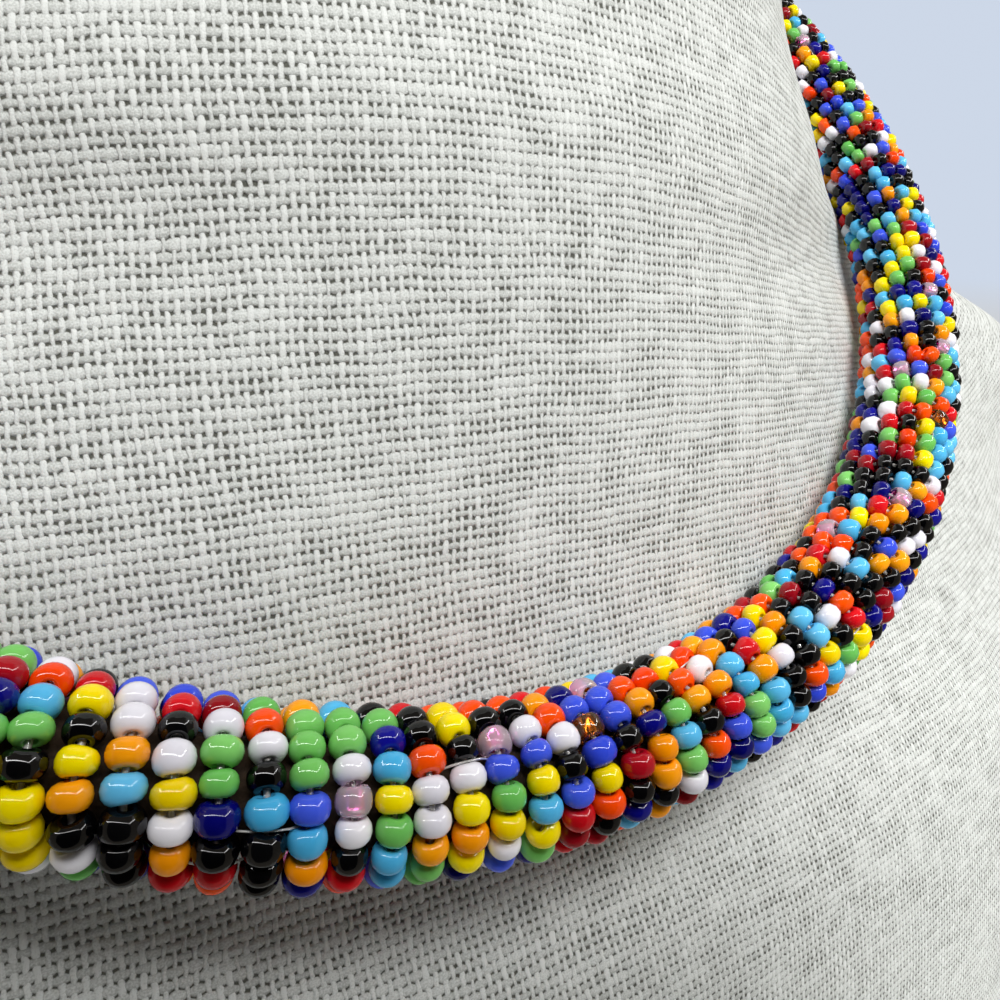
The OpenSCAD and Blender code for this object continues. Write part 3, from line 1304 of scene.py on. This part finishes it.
@dataclass
class Bust:
    """Neck bust: a soft padded form with linen drawn over it and sewn behind."""

    loop: Loop
    # In millimetres: height from the loop's middle, half width, front and back reach, hollow
    # and rim.
    rows: tuple = (
        (-150, 134, 72, 58, 0.8, 16),
        (-115, 142, 69.5, 60, 0.9, 16),
        (-85, 151, 64.5, 61, 1.5, 15),
        (-65, 158, 53.8, 62, 3.1, 14),
        (-50, 160, 50.3, 62, 5.6, 14),
        (-38, 149, 49.5, 61, 7.6, 13.5),
        (-28, 122, 48.7, 60, 6.6, 12),
        (-18, 90.4, 47.5, 59, 3.1, 8),
        (-8, 77.2, 44.5, 58, 2.1, 4),
        (4, 71, 42, 57, 2, 0),
        (20, 62.8, 40.5, 56, 1.7, 0),
        (45, 53, 40, 55, 1.3, 0),
        (88, 49, 39.5, 54, 1.1, 0),
    )
    back_hollow: float = 1.6
    rim_blunt: float = 8
    base_r: float = 4
    top_r: float = 9
    level_mm: float = 1.7
    around: int = 236
    edge_steps: int = 7
    # Rings that close the top and the underside, the last one's size, and how far behind the
    # loop's middle they shrink to.
    rings: int = 13
    last_ring: float = 0.02
    middle_back: float = 7 * MM
    # Angles beside the seam where the skin has more points.
    fine: tuple = (0.25, 0.5, 0.8, 1.15)
    # Rolled edges of the seam and the valley between them: height, distance from the seam
    # and width, in millimetres.
    seam: tuple = ((0.12, 1.7, 0.9), (-0.8, 0.0, 0.55))
    # How far apart the weft lies, by height up the cloth in millimetres: closer below the collar.
    spacing: tuple = (
        (0, 0.9), (75, 0.87), (86, 0.92), (100, 1.05), (112, 1.04), (126, 1.0), (250, 0.97),
    )
    weft_range: tuple = (-60, 320, 400)
    # The weft bows down to both sides by this share of the distance squared, a millimetre.
    bow: float = 0.0011
    bow_reach: float = 60
    # Ladder stitches: room below and above them, and their pitch.
    stitch_room: tuple = (9 * MM, 6 * MM)
    stitch_pitch: float = 4.2 * MM
    # A stitch: half width, how deep its ends dive, how deep it lies, half slant and radius.
    stitch: tuple = (1.15 * MM, 0.45 * MM, 0.02 * MM, 0.35 * MM, 0.2 * MM)
    stitch_steps: int = 7
    stitch_sides: int = 6
    # Place on the cloth of one step round a stitch and one along it, in millimetres.
    stitch_cloth: tuple = (0.1, 0.35)

    def __post_init__(self) -> None:
        """Place the skin, and measure the girth of each level from the front."""
        self.points = self.sections()
        # The seam's column stands at both ends here.
        self.closed = np.concatenate([self.points, self.points[:, :1]], 1)
        steps = np.linalg.norm(np.diff(self.closed, axis=1), axis=-1)
        u = np.pad(np.cumsum(steps, 1), ((0, 0), (1, 0)))
        self.girth = (u - u[:, [steps.shape[1] // 2]]) / MM

    def column(self, heights: np.ndarray, column: Column) -> np.ndarray:
        """Read one column of the rows at any height, with a curve that never overshoots.

        Args:
            heights: Heights from the loop's middle in millimetres.
            column: Which column to read.

        Returns:
            The column's value at each height.
        """
        x, y = np.array(self.rows, float)[:, [Column.HEIGHT.value, column.value]].T
        h = np.diff(x)
        d = np.diff(y) / h
        slope = np.zeros(len(x))
        for i in range(1, len(x) - 1):
            if d[i - 1] * d[i] > 0:
                a, b = 2 * h[i] + h[i - 1], h[i] + 2 * h[i - 1]
                slope[i] = (a + b) / (a / d[i - 1] + b / d[i])
        i = np.clip(np.searchsorted(x, heights, side="right") - 1, 0, len(h) - 1)
        f = (heights - x[i]) / h[i]
        return (
            (2 * f**3 - 3 * f**2 + 1) * y[i]
            + (f**3 - 2 * f**2 + f) * h[i] * slope[i]
            + (3 * f**2 - 2 * f**3) * y[i + 1]
            + (f**3 - f**2) * h[i] * slope[i + 1]
        )

    def levels(self) -> tuple[np.ndarray, np.ndarray, np.ndarray]:
        """List the levels of the bust.

        Returns:
            The row's height, the inset and the level's own height, in millimetres.
        """
        low, high = self.rows[0][0], self.rows[-1][0]
        a = np.linspace(0, math.pi / 2, self.edge_steps + 1)
        first, last = low + self.base_r, high - self.top_r
        body = np.linspace(first, last, int((last - first) / self.level_mm))[1:-1]
        rows = np.concatenate([np.full(len(a), low), body, np.full(len(a), high)])
        base, top = self.base_r * (1 - np.sin(a)), self.top_r * (1 - np.cos(a))
        inset = np.concatenate([base, np.zeros(len(body)), top])
        base, top = low + self.base_r * (1 - np.cos(a)), high - self.top_r * (1 - np.sin(a))
        return rows, inset, np.concatenate([base, body, top])

    def angles(self) -> np.ndarray:
        """Angles of a section from the seam behind, round to the seam again, finer beside it."""
        fine = np.radians(self.fine)
        return np.sort(np.concatenate([circle(self.around), fine, 2 * np.pi - fine])) + math.pi / 2

    def sections(self) -> np.ndarray:
        """Place all points of the bust's side.

        Returns:
            Points by level and angle, in metres.
        """
        heights, inset, z = self.levels()
        inset = inset[:, None]
        a = self.angles()
        out = np.clip(np.abs(np.cos(a)), 0, 1)
        read = (self.column(heights, c)[:, None] for c in list(Column)[1:])
        half, front, back, hollow, rim = read

        def depth(reach: np.ndarray, pull: np.ndarray) -> np.ndarray:
            """Depth of a section, blunt at its tip and hollow before it."""
            swell = reach - inset - rim
            return rim * np.sqrt(1 - out**self.rim_blunt) + swell * (1 - out**2) ** (pull / 2)

        behind = depth(back, np.minimum(hollow, self.back_hollow))
        x = (half - inset) * np.cos(a)
        y = np.where(np.sin(a) < 0, -depth(front, hollow), behind)
        points = np.stack([x, y, np.broadcast_to(z[:, None], x.shape)], -1) * MM
        return points + self.loop.centre

    def cut(self) -> np.ndarray:
        """Lay the threads of the cloth over the bust.

        Returns:
            Places along the weft and up the warp, in millimetres, one row for each corner
            of each face on the bust's side.
        """
        flat = ClothPattern(self.closed / MM, self.girth).unfold()
        x = flat.real
        bowed = flat.imag + self.bow * x**2 / (1 + (x / self.bow_reach) ** 2)
        heights = np.linspace(*self.weft_range)
        apart = np.interp(heights, *np.array(self.spacing).T)
        rise = np.cumsum(np.gradient(heights) / apart)
        threads = np.stack([x, np.interp(bowed, heights, rise)], -1).reshape(-1, 2)
        rows, columns = self.girth.shape
        corners = grid_faces(rows, columns).reshape(rows - 1, columns, 4)[:, :-1]
        return threads[corners.ravel()]

    def sew(self) -> np.ndarray:
        """Draw the cloth in along the seam behind.

        Returns:
            The bust's points, with the seam's valley between its two rolled edges.
        """
        points, u = self.points, self.girth
        away = np.minimum(u[:, -1:] - u[:, :-1], u[:, :-1] - u[:, :1])
        move = sum(high * np.exp(-(((away - at) / wide) ** 2)) for high, at, wide in self.seam)
        outward = points - points.mean(axis=1, keepdims=True)
        outward[..., 2] = 0
        return points + unit(outward) * move[..., None] * MM

    def build_cover(self, linen: Material) -> Piece:
        """Build the linen cover with its top and its underside.

        Args:
            linen: The cloth.

        Returns:
            The dressed piece.
        """
        side = self.sew()
        levels, columns = side.shape[:2]
        # The top and the underside close with rings that shrink to their middle.
        share = np.linspace(1, self.last_ring, self.rings + 1)[1:, None, None]
        skin = [side]
        for edge in (side[-1], side[0]):
            middle = np.array([0, self.loop.centre[1] + self.middle_back, edge[0, 2]])
            skin.append(middle + share * (edge - middle))
        skin = np.concatenate(skin).reshape(-1, 3)
        number = np.arange(len(skin)).reshape(-1, columns)
        under = np.concatenate([number[:1], number[-self.rings :]]).ravel()
        faces = [
            grid_faces(levels + self.rings, columns),
            under[grid_faces(self.rings + 1, columns)[:, [1, 0, 3, 2]]],
        ]
        caps = [number[levels + self.rings - 1], number[-1][::-1]]
        piece = make_piece("linen_cover", skin, np.concatenate(faces), caps)
        lay_cloth(piece, skin.astype(np.float32)[:, :2] / MM, self.cut())
        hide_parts("bust")
        return settle(piece, "linen", linen)

    def build_stitches(self, linen: Material) -> Piece:
        """Build the ladder stitches that close the seam behind.

        Args:
            linen: The cloth, whose yarn also sews it.

        Returns:
            The dressed piece.
        """
        back = self.points[:, 0]
        rise = np.concatenate([[0], np.cumsum(np.linalg.norm(np.diff(back, axis=0), axis=1))])
        below, above = self.stitch_room
        half, dive, deep, slant, radius = self.stitch
        x = np.linspace(-1, 1, self.stitch_steps)
        shape = np.stack([x * half, -dive * x**2 - deep, x * slant], -1)
        out = np.broadcast_to(np.array([0, 1.0, 0]), shape.shape)
        sides = self.stitch_sides
        at = np.arange(below, rise[-1] - above, self.stitch_pitch)
        middles = np.stack([np.interp(at, rise, row) for row in back.T], -1)
        parts = [tube(middle + shape, radius, out, sides) for middle in middles]
        piece = make_piece("seam_stitches", *join(parts))
        number = np.arange(len(piece.data.vertices))
        lay_cloth(piece, np.stack([number % sides, number // sides], -1) * self.stitch_cloth)
        return settle(piece, "linen", linen)

    def build(self) -> list[Piece]:
        """Build the cover and its stitches in place of the plain bust."""
        linen = Linen().build()
        return [self.build_cover(linen), self.build_stitches(linen)]


# The studio


def square(direction: Vector, axis: Vector) -> Vector:
    """Turn a direction square to an axis."""
    return (direction - direction.dot(axis) * axis).normalized()


@dataclass
class Studio:
    """Camera, lamps and backdrop."""

    # The camera: its place in millimetres, its directions, and its lens in millimetres.
    eye: tuple = (-30.6, -95.6, 122.9)
    right: tuple = (0.873, -0.487, 0.025)
    forward: tuple = (0.472, 0.830, -0.299)
    lens: float = 27.0
    sensor: float = 36.0
    clip: tuple = (0.004, 30)
    floor_r: float = 1.3
    inner_r: float = 0.01
    curve_r: float = 0.5
    wall_h: float = 3.0
    # Points round the floor and the wall, rings of the floor, the first of them at inner_r, and
    # rings of the curve.
    sides: int = 128
    floor_rings: int = 30
    curve_rings: int = 17
    # Point that all lamps face.
    aim: tuple = (0.01, -0.035, 0.10)
    # The lamp is a bent strip: one bar above the front and two that run back from its ends.
    bar_half: float = 0.49
    bar_forward: float = 0.23
    bar_height: float = 0.35
    bar_width: float = 0.026
    bar_back: float = 0.52
    glow: float = 22.0
    # Soft lamps stand this far away and are this wide.
    soft_away: float = 1.6
    soft_size: float = 1.0
    # The key and the fills: bearing from straight ahead to the right, height angle and brightness.
    key: tuple = (151, 56, 12.5)
    fills: tuple = ((-50, 30, 1.6), (55, 30, 0.6))
    room_tint: str = "#FFF3DF"
    room_glow: float = 0.18
    # Edges of the black card beside the lens, from the lens, and how far behind it the card
    # stands, in millimetres.
    card: tuple = (-60, -128, 68, 24)
    card_back: float = 3

    @property
    def axes(self) -> tuple[Vector, Vector, Vector]:
        """The camera's own directions.

        Returns:
            Right, up and ahead.
        """
        ahead = Vector(self.forward).normalized()
        right = square(Vector(self.right), ahead)
        return right, right.cross(ahead), ahead

    @property
    def level(self) -> tuple[Vector, Vector]:
        """Directions to the right and ahead, laid level."""
        flat = (Vector((*way[:2], 0)) for way in (self.right, self.forward))
        return tuple(way.normalized() for way in flat)

    @staticmethod
    def stand(piece: Piece, at: Vector, right: Vector, back: Vector) -> None:
        """Set up a camera or a lamp.

        Args:
            piece: The camera or lamp.
            at: Its place.
            right: Direction of its right side.
            back: Direction that its back faces.
        """
        turn = Matrix((right, back.cross(right), back)).transposed()
        piece.matrix_world = Matrix.Translation(at) @ turn.to_4x4()
        bpy.context.scene.collection.objects.link(piece)

    def build_camera(self) -> None:
        """Set the camera at the photograph's place and angle."""
        data = bpy.data.cameras.new("camera")
        data.sensor_fit = "HORIZONTAL"
        data.sensor_width = self.sensor
        data.lens = self.lens
        data.clip_start, data.clip_end = self.clip
        camera = bpy.data.objects.new("camera", data)
        right, _, ahead = self.axes
        self.stand(camera, Vector(self.eye) * MM, right, -ahead)
        bpy.context.scene.camera = camera

    def build_lamp(self, name: str, at: Vector, along: Vector, size: tuple, glow: float) -> Piece:
        """Build one flat lamp.

        Args:
            name: Name of the lamp.
            at: Its middle.
            along: Direction of its long side.
            size: Length and width.
            glow: Brightness of its face, where white paper is 1.

        Returns:
            The lamp, which the camera doesn't see.
        """
        data = bpy.data.lights.new(name, "AREA")
        data.shape = "RECTANGLE"
        data.size, data.size_y = size
        data.energy = glow * math.pi * size[0] * size[1]
        lamp = bpy.data.objects.new(name, data)
        back = (at - Vector(self.aim)).normalized()
        self.stand(lamp, at, square(along, back), back)
        lamp.visible_camera = False
        return lamp

    @staticmethod
    def chosen(name: str, piece: Piece, only: bool) -> bpy.types.Collection:
        """Name the objects that a lamp reaches.

        Args:
            name: Name of the choice.
            piece: The object that it is about.
            only: True for that object alone, False for everything else.

        Returns:
            The collection that holds the choice.
        """
        choice = bpy.data.collections.new(name)
        choice.objects.link(piece)
        if not only:
            choice.collection_objects[0].light_linking.link_state = "EXCLUDE"
        return choice

    def build_lamps(self, floor: Piece, card: Piece) -> None:
        """Build the bent strip lamp, the key and the soft fills.

        Args:
            floor: The floor, on which the card throws no shadow.
            card: The black card beside the lens.
        """
        right, ahead = self.level
        up = Vector((0, 0, 1))
        front = Vector(self.aim) - self.bar_forward * ahead + self.bar_height * up
        end = self.bar_half * right
        run = self.bar_back / 2 * ahead
        bars = (
            ("front_bar", front, right, 2 * self.bar_half),
            ("left_bar", front - end + run, ahead, self.bar_back),
            ("right_bar", front + end + run, ahead, self.bar_back),
        )
        for name, at, along, length in bars:
            bar = self.build_lamp(name, at, along, (length, self.bar_width), self.glow)
            bar.visible_diffuse = False
        soft = [("key", right, self.key), ("floor_key", right, self.key)]
        soft += [(f"back_fill_{n}", up, fill) for n, fill in enumerate(self.fills, 1)]
        size = (self.soft_size, self.soft_size)
        lamps = []
        for name, along, (bearing, rise, glow) in soft:
            turn, lift = math.radians(bearing), math.radians(rise)
            level = math.sin(turn) * right + math.cos(turn) * ahead
            away = math.cos(lift) * level + math.sin(lift) * up
            at = Vector(self.aim) + self.soft_away * away
            lamps.append(self.build_lamp(name, at, along, size, glow))
        key, twin = lamps[:2]
        key.light_linking.receiver_collection = self.chosen("all but the floor", floor, False)
        twin.light_linking.receiver_collection = self.chosen("the floor", floor, True)
        twin.light_linking.blocker_collection = self.chosen("all but the card", card, False)
        # The key gives the light and the bars give the glints, as a diffuser and bare tubes do.
        key.visible_glossy = twin.visible_glossy = False

    def build_world(self) -> None:
        """Fill the room with soft even light."""
        world = bpy.data.worlds.new("room")
        world.use_nodes = True
        world.node_tree.nodes.clear()
        add = partial(add_node, world.node_tree)
        sky = {"Color": linear(self.room_tint), "Strength": self.room_glow}
        add("ShaderNodeOutputWorld", {"Surface": add("ShaderNodeBackground", sky)})
        bpy.context.scene.world = world

    def build_backdrop(self) -> Piece:
        """Build the round floor, and the wall that it turns up into on all sides.

        Returns:
            The floor.
        """
        turn = circle(self.sides)
        ring = np.stack([np.cos(turn), np.sin(turn), np.zeros(self.sides)], -1)
        up = np.array([0, 0, 1.0])
        r = np.linspace(self.inner_r, self.floor_r, self.floor_rings)[:, None, None]
        middle = [np.arange(self.sides)[::-1]]
        floor = make_piece("floor", r * ring, grid_faces(len(r), self.sides), middle)
        a = np.linspace(0, math.pi / 2, self.curve_rings)
        r = np.append(self.floor_r + self.curve_r * np.sin(a), self.floor_r + self.curve_r)
        z = np.append(self.curve_r * (1 - np.cos(a)), self.wall_h)
        points = r[:, None, None] * ring + z[:, None, None] * up
        wall = make_piece("wall", points, grid_faces(len(r), self.sides))
        # The wall lets the room's light in, so it only shows behind the object.
        wall.visible_diffuse = wall.visible_glossy = wall.visible_transmission = False
        wall.visible_shadow = floor.visible_glossy = False
        finish = PaintedBackdrop().build()
        for board in (floor, wall):
            board.data.materials.append(finish)
        return floor

    def build_card(self) -> Piece:
        """Build the black card beside the lens, which keeps the front from washing out.

        Returns:
            The card.
        """
        right, up, ahead = self.axes
        at = (Vector(self.eye) - self.card_back * ahead) * MM
        x0, y0, x1, y1 = self.card
        around = ((x0, y0), (x1, y0), (x1, y1), (x0, y1))
        corners = [at + (x * right + y * up) * MM for x, y in around]
        card = make_piece("black_card", np.array(corners), np.arange(4))
        card.data.materials.append(BlackCard().build())
        card.visible_camera = False
        return card

    def build_light(self) -> None:
        """Build everything but the camera."""
        self.build_lamps(self.build_backdrop(), self.build_card())
        self.build_world()
        bpy.context.scene.view_settings.view_transform = "Standard"


def main() -> None:
    """Build the camera first, then the necklace, the bust and the studio."""
    logging.basicConfig(level=logging.INFO, format="%(message)s")
    studio = Studio()
    studio.build_camera()
    loop = Loop()
    BeadWinding(loop, np.array(studio.eye) * MM).build()
    RopeCore(loop).build()
    Clasp(loop).build()
    Bust(loop).build()
    studio.build_light()


if __name__ == "__main__":
    main()
